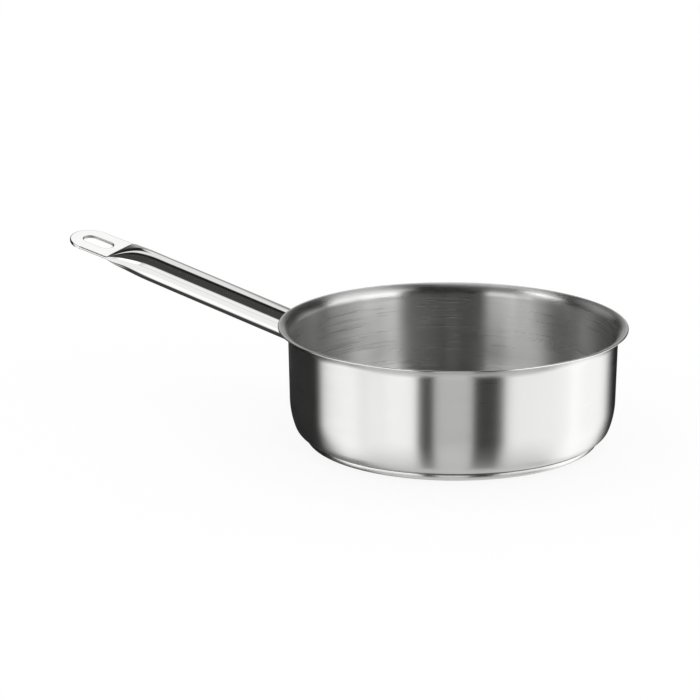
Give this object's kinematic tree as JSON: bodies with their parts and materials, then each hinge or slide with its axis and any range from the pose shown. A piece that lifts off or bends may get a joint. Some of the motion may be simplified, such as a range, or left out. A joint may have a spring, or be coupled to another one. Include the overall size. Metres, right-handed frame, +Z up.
{
  "type": "saucepan",
  "caption": "Low steel saucepan with a flared pouring rim, a bonded sandwich base and a polished tube handle pressed flat into a slotted hanging tab.",
  "frame": {"origin": "centre of the face the pan stands on", "axes": "+Z up along the vessel's axis; the handle leaves the wall along -X; +Y completes the right-handed frame"},
  "size_m": [0.3913, 0.215, 0.0977],
  "materials": {
    "satin_steel": "fine circumferential satin brushing",
    "core_aluminium": "plain, enclosed",
    "cap_steel": "satin, turned underside",
    "polished_steel": "mirror polished",
    "plate_steel": "satin",
    "weld_steel": "as-laid bead, pickled"
  },
  "bodies": {
    "root": {"pan_body": "satin_steel", "base_core": "core_aluminium", "base_cap": "cap_steel", "handle_tube": "polished_steel", "handle_saddle": "plate_steel", "tube_weld": "weld_steel"}
  },
  "joints": []
}
